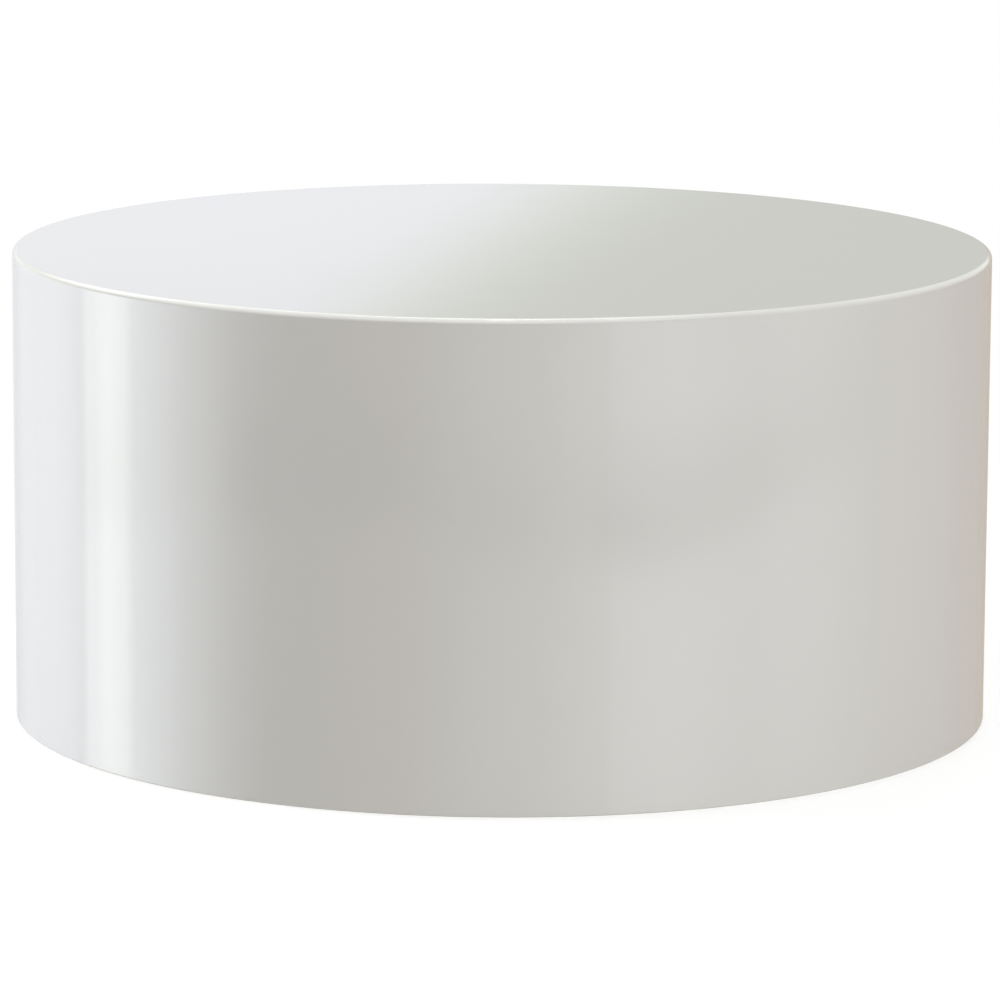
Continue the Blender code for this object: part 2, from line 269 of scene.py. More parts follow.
buffing = add_node(tree, "TexNoise", {"Vector": space["Object"], "Scale": 1 / BUFFING_PATCH, "Detail": 4.0})
gloss = add_node(
    tree, "MapRange", {0: buffing, 1: NOISE_LOW, 2: NOISE_HIGH, 3: BUFFED_WELL, 4: BUFFED_LESS}
)
roughness = add_node(tree, "Math", {0: shaded_rough_edge, 1: LOWER_EDGE_ROUGHNESS, 2: gloss}, operation="MULTIPLY_ADD")
upright = add_node(tree, "Mapping", {"Vector": space["Object"], "Scale": (1, 1, WAVE_STRETCH)})
waves = add_node(tree, "TexNoise", {"Vector": upright, "Scale": 1 / WAVE_WIDTH, "Detail": 1.0})
peel = add_node(tree, "TexNoise", {"Vector": space["Object"], "Scale": 1 / PEEL_WIDTH, "Detail": 1.0})
wave_bump = add_node(tree, "Bump", {"Distance": WAVE_HEIGHT, "Height": waves})
peel_bump = add_node(tree, "Bump", {"Distance": PEEL_HEIGHT, "Height": peel, "Normal": wave_bump})
fill(tree, shader, {"IOR": LACQUER_IOR, "Base Color": colour, "Roughness": roughness, "Normal": peel_bump})
print("finish:", lacquer.name)

# %% [markdown]
# ## Raw fibreboard
#
# Nobody sees the underside of the top, so its fibreboard is left bare. Pressed wood fibre is tan, matt and
# finely speckled, with a slight sheen where the press plate closed the surface.

# %% The fibreboard
FIBREBOARD_PALE = "#C2A680"
FIBREBOARD_DARK = "#9C7D58"
FIBRE_WIDTH = 0.0015
PRESS_PATCH = 0.080
FIBRE_RELIEF = 0.0001
SPECKLE_LOW, SPECKLE_HIGH = 0.7, 1.3
PRESSED_GLOSS, PRESSED_MATT = 0.55, 0.75

fibreboard, tree, shader, space = new_finish("raw_fibreboard")
fibres = add_node(
    tree, "TexNoise", {"Vector": space["Object"], "Scale": 1 / FIBRE_WIDTH, "Detail": 4.0, "Roughness": 0.7}
)
clouds = add_node(tree, "TexNoise", {"Vector": space["Object"], "Scale": 1 / PRESS_PATCH, "Detail": 2.0})
speckle = add_node(tree, "Math", {0: fibres, 1: clouds}, operation="ADD")
share = add_node(tree, "MapRange", {0: speckle, 1: SPECKLE_LOW, 2: SPECKLE_HIGH})
colour = add_node(tree, "Mix", {0: share, 6: FIBREBOARD_DARK, 7: FIBREBOARD_PALE}, data_type="RGBA")
sheen = add_node(tree, "MapRange", {0: clouds, 3: PRESSED_GLOSS, 4: PRESSED_MATT})
rough = add_node(tree, "Bump", {"Distance": FIBRE_RELIEF, "Height": fibres})
fill(tree, shader, {"Base Color": colour, "Roughness": sheen, "Normal": rough})
print("finish:", fibreboard.name)

# %% [markdown]
# ## The top
#
# The top is one round panel with a small rounded edge. A rebate lets its underside drop inside the wall, so
# only its rim rests on the wall. It is a turned shape: a profile from the middle of the top face, over the
# edge, along the rebate and back to the middle of the underside. Two extra rings of points beside the
# rounded edge keep the shading of the flat face and the upright rim from bending.

# %% Turn the top
EDGE_STEPS = 18
FACE_RINGS = 12
SUPPORT = 0.0002
DOWNWARD = -0.5
edge_centre = (DRUM_RADIUS - TOP_EDGE_RADIUS, TABLE_HEIGHT - TOP_EDGE_RADIUS)
face_radii = np.append(np.linspace(0, edge_centre[0], FACE_RINGS)[:-1], edge_centre[0] - SUPPORT)
top_profile = np.concatenate([
    np.stack([face_radii, np.full_like(face_radii, TABLE_HEIGHT)], axis=1),
    arc(edge_centre, TOP_EDGE_RADIUS, 90, 0, EDGE_STEPS),
    [
        (DRUM_RADIUS, edge_centre[1] - SUPPORT),
        (DRUM_RADIUS, JOINT_HEIGHT),
        (LINING_RADIUS, JOINT_HEIGHT),
        (LINING_RADIUS, TOP_UNDERSIDE),
        (0, TOP_UNDERSIDE),
    ],
])
top = make_piece(
    "lacquered_top",
    skin(turn(top_profile, full_circle(DRUM_COLUMNS)), rows_close=True, columns_close=False),
    lacquer, "table", "top_panel",
)
bare = second_finish(
    top, fibreboard,
    lambda centres, normals: (centres[:, 2] < JOINT_HEIGHT - SUPPORT) | (normals[:, 2] < DOWNWARD),
)
print("lacquered_top:", len(top.data.polygons), "faces,", bare, "of them bare")

# %% [markdown]
# ## Bending plywood
#
# The wall is bent from plywood whose veneers all run upright, so that it rolls easily. Inside it stays
# bare: a pinkish tan with long upright fibres. Spraying the outside leaves a breath of white on the lowest
# part of the inside.

# %% The bare inside of the wall
BENDING_PALE = "#CFAE8A"
BENDING_DARK = "#A9805A"
OVERSPRAY_WHITE = "#E4E1DA"
FIBRE_SPACING = 0.003
FIBRE_LENGTH = 0.150
OVERSPRAY_HEIGHT = 0.030
OVERSPRAY_SHARE = 0.9
OVERSPRAY_FAINT, OVERSPRAY_FULL = 0.1, 0.4
BENDING_LOW, BENDING_HIGH = 0.32, 0.68
BENDING_RELIEF = 0.0002
BENDING_ROUGHNESS = 0.72

bending_plywood, tree, shader, space = new_finish("bare_bending_plywood")
along = add_node(
    tree, "Mapping", {"Vector": space["Object"], "Scale": (1, 1, FIBRE_SPACING / FIBRE_LENGTH)}
)
fibres = add_node(
    tree, "TexNoise", {"Vector": along, "Scale": 1 / FIBRE_SPACING, "Detail": 5.0, "Roughness": 0.65}
)
share = add_node(tree, "MapRange", {0: fibres, 1: BENDING_LOW, 2: BENDING_HIGH})
wood = add_node(tree, "Mix", {0: share, 6: BENDING_DARK, 7: BENDING_PALE}, data_type="RGBA")
height = add_node(tree, "SeparateXYZ", {0: space["Object"]})
mist = add_node(
    tree, "MapRange",
    {0: height.outputs["Z"], 1: WALL_BOTTOM, 2: WALL_BOTTOM + OVERSPRAY_HEIGHT, 3: OVERSPRAY_SHARE, 4: 0.0},
)
dust = add_node(tree, "Math", {0: mist, 1: fibres}, operation="MULTIPLY")
white = add_node(tree, "MapRange", {0: dust, 1: OVERSPRAY_FAINT, 2: OVERSPRAY_FULL}, **SMOOTH)
colour = add_node(tree, "Mix", {0: white, 6: wood, 7: OVERSPRAY_WHITE}, data_type="RGBA")
rough = add_node(tree, "Bump", {"Distance": BENDING_RELIEF, "Height": fibres})
fill(tree, shader, {"Base Color": colour, "Roughness": BENDING_ROUGHNESS, "Normal": rough})
print("finish:", bending_plywood.name)

# %% [markdown]
# ## The wall
#
# Two half shells make the wall. On the real table the joint at each side is filled, flatted and sprayed
# over, so the halves meet here with nothing between them. Each is one section, carried half-way round: up
# the outside, across the edge that the top rests on, down the inside and round the lower lip, which is
# sanded to a small radius so that the lacquer doesn't chip.

# %% Bend the two halves of the wall
LIP_STEPS = 5
HALF_COLUMNS = DRUM_COLUMNS // 2
NEAR_SEAM = 0.0005
lip_height = WALL_BOTTOM + WALL_LIP_RADIUS
outer_lip = (DRUM_RADIUS - WALL_LIP_RADIUS, lip_height)
inner_lip = (WALL_INNER_RADIUS + WALL_LIP_RADIUS, lip_height)
wall_section = np.concatenate([
    arc(outer_lip, WALL_LIP_RADIUS, -90, 0, LIP_STEPS),
    [
        (DRUM_RADIUS, lip_height + SUPPORT),
        (DRUM_RADIUS, JOINT_HEIGHT),
        (WALL_INNER_RADIUS, JOINT_HEIGHT),
    ],
    arc(inner_lip, WALL_LIP_RADIUS, 180, 270, LIP_STEPS),
])
half_turn = np.concatenate([[0.0], np.linspace(NEAR_SEAM, math.pi - NEAR_SEAM, HALF_COLUMNS), [math.pi]])
for half, start in (("back", 0.0), ("front", math.pi)):
    wall = make_piece(
        f"lacquered_wall_{half}",
        skin(turn(wall_section, start + half_turn), rows_close=False, columns_close=True, capped=True),
        lacquer, "table", f"wall_shell_{half}",
    )
    bare = second_finish(
        wall, bending_plywood,
        lambda centres, normals: np.hypot(centres[:, 0], centres[:, 1]) < WALL_INNER_RADIUS + SUPPORT,
    )
    print(wall.name + ":", len(wall.data.polygons), "faces,", bare, "of them bare")

# %% [markdown]
# ## Birch plywood
#
# The rings and the strips behind the joints are cut from birch plywood. On its faces the eye sees pale
# rotary-cut veneer with long, watery figure. On its edges it sees the plies: light and brown layers that
# take turns, because every second layer shows its end grain, with a dark line of glue between them. The
# object-space normal tells a face from an edge.

# %% The plywood
BIRCH_PALE = "#E3CBA2"
BIRCH_DARK = "#C8A674"
PLY_LONG_GRAIN = "#DDC193"
PLY_END_GRAIN = "#A97F4E"
PLY_GLUE = "#5B3F25"
PLY_THICKNESS = 0.0015
FIGURE_WIDTH = 0.014
FIGURE_LENGTH = 0.160
PORE_WIDTH = 0.0012
PORE_LENGTH = 0.020
PORE_RELIEF = 0.0001
PORE_SHARE = 0.45
FIGURE_SWIRL = 0.8
FIGURE_SHINY, FIGURE_MATT = 0.50, 0.68
GRAIN_LOW, GRAIN_HIGH = 0.52, 0.92
LAYER_LOW, LAYER_HIGH = 0.47, 0.53
GLUE_MIDDLE, GLUE_SHARE = 0.5, 0.06
FACE_LOW, FACE_HIGH = 0.5, 0.7

birch_plywood, tree, shader, space = new_finish("birch_plywood")
along = add_node(
    tree, "Mapping", {"Vector": space["Object"], "Scale": (FIGURE_WIDTH / FIGURE_LENGTH, 1, 1)}
)
figure = add_node(
    tree, "TexNoise",
    {"Vector": along, "Scale": 1 / FIGURE_WIDTH, "Detail": 3.0, "Distortion": FIGURE_SWIRL},
)
pore_space = add_node(
    tree, "Mapping", {"Vector": space["Object"], "Scale": (PORE_WIDTH / PORE_LENGTH, 1, 1)}
)
pores = add_node(tree, "TexNoise", {"Vector": pore_space, "Scale": 1 / PORE_WIDTH, "Detail": 2.0})
grain = add_node(tree, "Math", {0: pores, 1: PORE_SHARE, 2: figure}, operation="MULTIPLY_ADD")
share = add_node(tree, "MapRange", {0: grain, 1: GRAIN_LOW, 2: GRAIN_HIGH})
veneer = add_node(tree, "Mix", {0: share, 6: BIRCH_DARK, 7: BIRCH_PALE}, data_type="RGBA")
place = add_node(tree, "SeparateXYZ", {0: space["Object"]})
ply = add_node(tree, "Math", {0: place.outputs["Z"], 1: PLY_THICKNESS}, operation="PINGPONG")
layer = add_node(tree, "MapRange", {0: ply, 1: LAYER_LOW * PLY_THICKNESS, 2: LAYER_HIGH * PLY_THICKNESS})
plies = add_node(tree, "Mix", {0: layer, 6: PLY_LONG_GRAIN, 7: PLY_END_GRAIN}, data_type="RGBA")
glue_line = add_node(
    tree, "Math", {0: ply, 1: GLUE_MIDDLE * PLY_THICKNESS, 2: GLUE_SHARE * PLY_THICKNESS},
    operation="COMPARE",
)
edge = add_node(tree, "Mix", {0: glue_line, 6: plies, 7: PLY_GLUE}, data_type="RGBA")
facing = add_node(tree, "SeparateXYZ", {0: space["Normal"]})
upward = add_node(tree, "Math", {0: facing.outputs["Z"]}, operation="ABSOLUTE")
is_face = add_node(tree, "MapRange", {0: upward, 1: FACE_LOW, 2: FACE_HIGH})
colour = add_node(tree, "Mix", {0: is_face, 6: edge, 7: veneer}, data_type="RGBA")
rough = add_node(tree, "Bump", {"Distance": PORE_RELIEF, "Height": pores})
shine = add_node(tree, "MapRange", {0: figure, 3: FIGURE_SHINY, 4: FIGURE_MATT})
fill(tree, shader, {"Base Color": colour, "Roughness": shine, "Normal": rough})
print("finish:", birch_plywood.name)

# %% [markdown]
# ## The rings
#
# Three plywood rings keep the thin wall round. The lowest carries the feet, the middle one is notched round
# the posts and the uppermost carries the top. Their holes and notches are already exact in the packed
# model, so each ring starts from a merged copy of its node, and a Bevel takes the sharpness off the sawn
# edges.

# %% Ease the edges of the rings
RING_EDGE = 0.0006
FLAT_ANGLE = math.radians(1)
EASED_ANGLE = math.radians(50)
WELD_DISTANCE = 10 * MERGE_DISTANCE
RINGS = (("floor_ring", "base_ring"), ("waist_ring", "middle_ring"), ("shoulder_ring", "upper_ring"))
for name, node in RINGS:
    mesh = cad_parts[node].data.copy()
    shape = bmesh.new()
    shape.from_mesh(mesh)
    bmesh.ops.remove_doubles(shape, verts=shape.verts, dist=WELD_DISTANCE)
    bmesh.ops.dissolve_limit(shape, angle_limit=FLAT_ANGLE, verts=shape.verts, edges=shape.edges)
    shape.to_mesh(mesh)
    shape.free()
    ring = add_piece(name, mesh, birch_plywood, "table", node)
    ease = ring.modifiers.new("eased_edges", "BEVEL")
    ease.width = RING_EDGE
    ease.segments = 2
    ease.limit_method = "ANGLE"
    ease.angle_limit = EASED_ANGLE
    ease.use_clamp_overlap = True
    print(name + ":", len(mesh.polygons), "faces before its edges are eased")

# %% [markdown]
# ## Strips behind the joints
#
# A bent strip of plywood is glued behind each joint of the wall. It is a rounded rectangle of radii and
# heights, carried through the few degrees that the strip covers.

# %% Bend the strips
STRIP_THICKNESS = 0.009
STRIP_HALF_ANGLE = math.radians(5)
STRIP_COLUMNS = 24
STRIP_EDGE = 0.0008
STRIP_EDGE_STEPS = 3


def rounded_rectangle(low, high, radius, steps):
    """A closed loop round a rectangle from low to high: a quarter circle of this radius in each corner, in
    order."""
    corners = (
        ((high[0] - radius, high[1] - radius), 0),
        ((low[0] + radius, high[1] - radius), 90),
        ((low[0] + radius, low[1] + radius), 180),
        ((high[0] - radius, low[1] + radius), 270),
    )
    return np.concatenate([arc(centre, radius, start, start + 90, steps) for centre, start in corners])


post_low, post_high = (corner[2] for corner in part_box("stud_1"))
strip_section = rounded_rectangle(
    (LINING_RADIUS - STRIP_THICKNESS, post_low), (LINING_RADIUS, post_high), STRIP_EDGE, STRIP_EDGE_STEPS
)
strip_angles = np.linspace(-STRIP_HALF_ANGLE, STRIP_HALF_ANGLE, STRIP_COLUMNS + 1)
for side, middle in (("right", 0.0), ("left", math.pi)):
    strip = make_piece(
        f"joint_strip_{side}",
        skin(turn(strip_section, middle + strip_angles), rows_close=False, columns_close=True, capped=True),
        birch_plywood, "table", f"seam_batten_{side}",
    )
    print(strip.name + ":", len(strip.data.polygons), "faces")

# %% [markdown]
# ## Planed pine
#
# The posts are planed softwood. Pine shows growth rings: soft pale wood from spring that darkens to a hard
# reddish line in autumn. A post is cut along the trunk, so the rings run upright as long, slightly
# wandering lines. They are worked out as distance from an upright axis, pushed about by a noise that is
# stretched along the trunk.

# %% The pine
PINE_SPRING = "#EAD4AC"
PINE_AUTUMN = "#C69A66"
RING_SPACING = 0.0042
RING_WANDER = 0.016
TRUNK_WIDTH = 0.060
TRUNK_LENGTH = 0.700
PINE_FIBRE = 0.0010
PINE_FIBRE_LENGTH = 0.040
PINE_FIBRE_SHARE = 0.35
PINE_RELIEF = 0.00015
SPRING_END, AUTUMN_END = 0.25, 0.95
AUTUMN_SHARPNESS = 2.2
SPRING_ROUGHNESS, AUTUMN_ROUGHNESS = 0.62, 0.48

pine, tree, shader, space = new_finish("planed_pine")
trunk = add_node(tree, "Mapping", {"Vector": space["Object"], "Scale": (1, 1, TRUNK_WIDTH / TRUNK_LENGTH)})
wander = add_node(tree, "TexNoise", {"Vector": trunk, "Scale": 1 / TRUNK_WIDTH, "Detail": 2.0})
across = add_node(tree, "Mapping", {"Vector": space["Object"], "Scale": (1, 1, 0)})
distance = add_node(tree, "VectorMath", {0: across}, operation="LENGTH")
pushed = add_node(tree, "Math", {0: wander, 1: RING_WANDER, 2: distance}, operation="MULTIPLY_ADD")
season = add_node(tree, "Math", {0: pushed, 1: RING_SPACING}, operation="WRAP")
year = add_node(tree, "MapRange", {0: season, 1: SPRING_END * RING_SPACING, 2: AUTUMN_END * RING_SPACING})
autumn = add_node(tree, "Math", {0: year, 1: AUTUMN_SHARPNESS}, operation="POWER")
fibre_space = add_node(
    tree, "Mapping", {"Vector": space["Object"], "Scale": (1, 1, PINE_FIBRE / PINE_FIBRE_LENGTH)}
)
fibres = add_node(tree, "TexNoise", {"Vector": fibre_space, "Scale": 1 / PINE_FIBRE, "Detail": 3.0})
share = add_node(
    tree, "Math", {0: fibres, 1: PINE_FIBRE_SHARE, 2: autumn}, operation="MULTIPLY_ADD", use_clamp=True
)
colour = add_node(tree, "Mix", {0: share, 6: PINE_SPRING, 7: PINE_AUTUMN}, data_type="RGBA")
rough = add_node(tree, "Bump", {"Distance": PINE_RELIEF, "Height": fibres})
shine = add_node(tree, "MapRange", {0: share, 3: SPRING_ROUGHNESS, 4: AUTUMN_ROUGHNESS})
fill(tree, shader, {"Base Color": colour, "Roughness": shine, "Normal": rough})
print("finish:", pine.name)

# %% [markdown]
# ## The posts
#
# Eight posts stand between the lowest ring and the uppermost. A post is a rounded rectangle, carried
# straight up. It is worked out flat, with one side along the drum's radius, and then turned to its own
# place.

# %% Stand the posts
POST_WIDTH = 0.040
POST_DEPTH = 0.028
POST_EDGE = 0.0025
POST_EDGE_STEPS = 5
POST_ROWS = 9
POST_COUNT = 8


def carried_up(section, heights, middle, angle):
    """A section of (u, v) points at each height, with u turned to this angle: middle + u (cos, sin) + v
    (-sin, cos)."""
    along = np.array([math.cos(angle), math.sin(angle)])
    across = np.array([-math.sin(angle), math.cos(angle)])
    grid = np.empty((len(heights), len(section), 3))
    grid[:, :, :2] = middle + section[:, :1] * along + section[:, 1:] * across
    grid[:, :, 2] = np.asarray(heights)[:, None]
    return grid


post_section = rounded_rectangle(
    (-POST_DEPTH / 2, -POST_WIDTH / 2), (POST_DEPTH / 2, POST_WIDTH / 2), POST_EDGE, POST_EDGE_STEPS
)
post_heights = np.linspace(post_low, post_high, POST_ROWS)
for number in range(1, POST_COUNT + 1):
    low, high = (np.array(corner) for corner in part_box(f"stud_{number}"))
    middle = (low + high)[:2] / 2
    grid = carried_up(post_section, post_heights, middle, math.atan2(*middle[::-1]))
    post = make_piece(
        f"pine_post_{number}", skin(grid, rows_close=False, columns_close=True, capped=True),
        pine, "table", f"stud_{number}",
    )
print("posts:", POST_COUNT, "of", len(post.data.polygons), "faces each")

# %% [markdown]
# ## Zinc-plated steel
#
# Screws, inserts and stems are steel with bright zinc on it. The plating bath leaves fine crystals, so the
# metal is a cool grey that is mirror-like in one place and cloudy in the next. The clouds change its tone
# and its roughness.

# %% The plating
ZINC_BRIGHT = "#CDD1D4"
ZINC_CLOUD = "#A7ADB3"
CLOUD_WIDTH = 0.003
CLOUD_ROUGHNESS, BRIGHT_ROUGHNESS = 0.42, 0.24

zinc, tree, shader, space = new_finish("bright_zinc_plating")
clouds = add_node(
    tree, "TexNoise", {"Vector": space["Object"], "Scale": 1 / CLOUD_WIDTH, "Detail": 4.0, "Roughness": 0.6}
)
colour = add_node(tree, "Mix", {0: clouds, 6: ZINC_CLOUD, 7: ZINC_BRIGHT}, data_type="RGBA")
gloss = add_node(
    tree, "MapRange", {0: clouds, 1: NOISE_LOW, 2: NOISE_HIGH, 3: CLOUD_ROUGHNESS, 4: BRIGHT_ROUGHNESS}
)
fill(tree, shader, {"Metallic": 1.0, "Base Color": colour, "Roughness": gloss})
print("finish:", zinc.name)

# %% [markdown]
# ## Countersunk screws
#
# The screws hold the rings to the posts and the top to the uppermost ring. All have a cross recess in a
# flat head, a plain neck and a coarse wood thread. The whole screw is one grid: rows run from the middle of
# the head, over its rim and along the thread to the point, and columns go round. A row's radius and depth
# may change from column to column, and that is all a thread or a recess needs.

# %% Cut the screws
SCREW_HEAD_RADIUS = 0.00475
SCREW_HEAD_LAND = 0.0008
SCREW_HEAD_HEIGHT = 0.0035
SCREW_NECK_LENGTH = 0.016
SCREW_CREST_RADIUS = 0.0025
SCREW_ROOT_RADIUS = 0.0017
SCREW_PITCH = 0.0025
SCREW_POINT = 0.005
THREAD_STEEPNESS, THREAD_FLAT = 1.8, 0.4
SCREW_COLUMNS = 48
SCREW_FACE_ROWS = 15
ROWS_PER_TURN = 8
RECESS_DEPTH = 0.0022
RECESS_REACH = 0.0026
RECESS_SLOPE = 0.0012
RECESS_HALF_WIDTH = 0.0007
RECESS_WALL = 0.0003


def cross_recess(x, y):
    """Depth of a cross: the product of a wall across each arm and a slope along it, both clipped from 0 to
    1. The smaller of |x| and |y| lies across the nearest arm, and the larger along it."""
    across = np.minimum(np.abs(x), np.abs(y))
    along = np.maximum(np.abs(x), np.abs(y))
    wall = np.clip((RECESS_HALF_WIDTH - across) / RECESS_WALL, 0, 1)
    slope = np.clip((RECESS_REACH - along) / RECESS_SLOPE, 0, 1)
    return RECESS_DEPTH * wall * slope


def thread_radius(angles, along, pitch, root, crest):
    """Distance of a thread from its axis. The turns passed, along / pitch - angle / 2 pi, leave a fraction.
    Folded into a triangle wave and clipped flat at both ends, it rises from root to crest once in each
    pitch."""
    fraction = (along / pitch - angles / math.tau) % 1.0
    ridge = 1 - np.abs(2 * fraction - 1)
    return root + (crest - root) * np.clip(THREAD_STEEPNESS * ridge - THREAD_FLAT, 0, 1)


def round_rows(radius, along, angles):
    """A grid of rows round the Z axis: (r cos a, r sin a, z), with r and z given for each row and
    column."""
    radius, along, angles = np.broadcast_arrays(radius, along, angles)
    return np.stack([radius * np.cos(angles), radius * np.sin(angles), along], axis=2)


def screw_grid(length):
    """A screw from its head, at z = 0, to its point, at z = length."""
    angles = full_circle(SCREW_COLUMNS)[None, :]
    face = np.linspace(0, SCREW_HEAD_RADIUS, SCREW_FACE_ROWS)[:, None]
    recess = cross_recess(face * np.cos(angles), face * np.sin(angles))
    neck = np.array([
        (SCREW_HEAD_RADIUS, SCREW_HEAD_LAND),
        (SCREW_CREST_RADIUS, SCREW_HEAD_HEIGHT),
        (SCREW_CREST_RADIUS, SCREW_NECK_LENGTH),
    ])
    turns = (length - SCREW_NECK_LENGTH) / SCREW_PITCH
    along = np.linspace(SCREW_NECK_LENGTH, length, math.ceil(turns * ROWS_PER_TURN))[1:, None]
    taper = np.clip((length - along) / SCREW_POINT, 0, 1)
    shank = taper * thread_radius(angles, along, SCREW_PITCH, SCREW_ROOT_RADIUS, SCREW_CREST_RADIUS)
    return np.concatenate([
        round_rows(face, recess, angles),
        round_rows(neck[:, :1], neck[:, 1:], angles),
        round_rows(shank, along, angles),
    ])


SCREW_KINDS = (
    ("floor_ring_screw", "lower_stud_screw", 1),
    ("shoulder_ring_screw", "upper_stud_screw", -1),
    ("table_top_screw", "top_screw", 1),
)
for name, node, direction in SCREW_KINDS:
    for number in range(1, POST_COUNT + 1):
        low, high = (np.array(corner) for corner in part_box(f"{node}_{number}"))
        head = np.append((low + high)[:2] / 2, low[2] if direction > 0 else high[2])
        grid = head + screw_grid(high[2] - low[2]) * (1, direction, direction)
        screw = make_piece(
            f"{name}_{number}", skin(grid, rows_close=False, columns_close=True),
            zinc, "table", f"{node}_{number}",
        )
    print(name + ":", POST_COUNT, "of", len(screw.data.polygons), "faces each")

# %% [markdown]
# ## Black nylon
#
# The pads of the feet are moulded in black nylon. It is a soft black with a broad, dull shine, and the
# mould leaves a fine grit on it. The grit is drawn at half a millimetre, coarser than the real one, so that
# it shows at all.

# %% The nylon
NYLON_BLACK = "#1B1B1C"
NYLON_WORN = "#2C2C2D"
GRIT_WIDTH = 0.0005
GRIT_HEIGHT = 0.00004
RUB_WIDTH = 0.010
NYLON_GLOSS, NYLON_MATT = 0.38, 0.58

nylon, tree, shader, space = new_finish("moulded_black_nylon")
grit = add_node(tree, "TexNoise", {"Vector": space["Object"], "Scale": 1 / GRIT_WIDTH, "Detail": 2.0})
rubs = add_node(tree, "TexNoise", {"Vector": space["Object"], "Scale": 1 / RUB_WIDTH, "Detail": 4.0})
colour = add_node(tree, "Mix", {0: rubs, 6: NYLON_BLACK, 7: NYLON_WORN}, data_type="RGBA")
gloss = add_node(tree, "MapRange", {0: rubs, 3: NYLON_GLOSS, 4: NYLON_MATT})
rough = add_node(tree, "Bump", {"Distance": GRIT_HEIGHT, "Height": grit})
fill(tree, shader, {"Base Color": colour, "Roughness": gloss, "Normal": rough})
print("finish:", nylon.name)

# %% [markdown]
# ## The levelling feet
#
# Four feet carry the table. A flanged insert sits in the lowest ring, a threaded stem with a hexagon collar
# screws through it, and a pad swivels on the stem's end. Pad and insert are turned profiles. The stem is a
# grid like the screws: its collar's radius is a hexagon, apothem / cos a, trimmed by a cone at both ends as
# on a real nut.

# %% Profiles of the pad and the insert
PAD_RADIUS = 0.017
PAD_LOWER_ROUND = 0.0015
PAD_UPPER_ROUND = 0.003
PAD_LOWER_STEPS, PAD_UPPER_STEPS = 6, 8
PAD_SOCKET_FLOOR = 0.003
STEM_RADIUS = 0.004
BORE_RADIUS = STEM_RADIUS + FIT_GAP
BORE_CHAMFER = 0.0004
INSERT_RADIUS = 0.006
FLANGE_RADIUS = 0.009
FLANGE_THICKNESS = 0.0015
FLANGE_ROUND = 0.0006
FLANGE_STEPS = 5
FOOT_COLUMNS = 72
FOOT_COUNT = 4

pad_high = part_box("leveller_pad_1")[1][2]
insert_low, insert_high = (corner[2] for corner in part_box("leveller_insert_1"))
upper_round = (PAD_RADIUS - PAD_UPPER_ROUND, pad_high - PAD_UPPER_ROUND)
pad_profile = np.concatenate([
    [(0, 0), (PAD_RADIUS - PAD_LOWER_ROUND - SUPPORT, 0)],
    arc((PAD_RADIUS - PAD_LOWER_ROUND, PAD_LOWER_ROUND), PAD_LOWER_ROUND, -90, 0, PAD_LOWER_STEPS),
    arc(upper_round, PAD_UPPER_ROUND, 0, 90, PAD_UPPER_STEPS),
    [
        (BORE_RADIUS + BORE_CHAMFER, pad_high),
        (BORE_RADIUS, pad_high - BORE_CHAMFER),
        (BORE_RADIUS, PAD_SOCKET_FLOOR),
        (0, PAD_SOCKET_FLOOR),
    ],
])
flange_high = insert_low + FLANGE_THICKNESS
insert_profile = np.concatenate([
    [(BORE_RADIUS + BORE_CHAMFER, insert_low)],
    arc((FLANGE_RADIUS - FLANGE_ROUND, insert_low + FLANGE_ROUND), FLANGE_ROUND, -90, 0, FLANGE_STEPS),
    [
        (FLANGE_RADIUS, flange_high),
        (INSERT_RADIUS, flange_high),
        (INSERT_RADIUS, insert_high),
        (BORE_RADIUS, insert_high),
        (BORE_RADIUS, insert_low + BORE_CHAMFER),
    ],
])
print("pad profile:", len(pad_profile), "points, insert profile:", len(insert_profile), "points")

# %% The threaded stem
STEM_ROOT_RADIUS = 0.0034
STEM_PITCH = 0.00125
STEM_CHAMFER = 0.0006
STEM_TIP_CHAMFER = 0.001
COLLAR_APOTHEM = 0.007
COLLAR_HEIGHT = 0.0045
COLLAR_TRIM = math.tan(math.radians(60))
COLLAR_ROWS = 13
STEM_COLUMNS = 48


def hexagon(angles):
    """Distance from the middle to a hexagon's side: apothem / cos a, with a folded into the 60 degrees of
    one side."""
    side = math.radians(60)
    return COLLAR_APOTHEM / np.cos((angles + side / 2) % side - side / 2)


def stem_grid(low, collar_low, high):
    """The stem from its lower end to its tip: a plain end, the trimmed hexagon collar and the thread."""
    angles = full_circle(STEM_COLUMNS)[None, :]
    collar_high = collar_low + COLLAR_HEIGHT
    foot = np.array([
        (0, low),
        (STEM_RADIUS - STEM_CHAMFER, low),
        (STEM_RADIUS, low + STEM_CHAMFER),
        (STEM_RADIUS, collar_low),
    ])
    collar_z = np.linspace(collar_low, collar_high, COLLAR_ROWS)[:, None]
    from_end = np.minimum(collar_z - collar_low, collar_high - collar_z)
    collar = np.minimum(hexagon(angles), COLLAR_APOTHEM + COLLAR_TRIM * from_end)
    turns = (high - collar_high) / STEM_PITCH
    thread_z = np.linspace(collar_high, high, math.ceil(turns * ROWS_PER_TURN))[:, None]
    tip = STEM_RADIUS - np.clip(thread_z - (high - STEM_TIP_CHAMFER), 0, None)
    thread = np.minimum(tip, thread_radius(angles, thread_z, STEM_PITCH, STEM_ROOT_RADIUS, STEM_RADIUS))
    return np.concatenate([
        round_rows(foot[:, :1], foot[:, 1:], angles),
        round_rows(collar, collar_z, angles),
        round_rows(thread, thread_z, angles),
        round_rows(np.zeros((1, 1)), np.full((1, 1), high), angles),
    ])


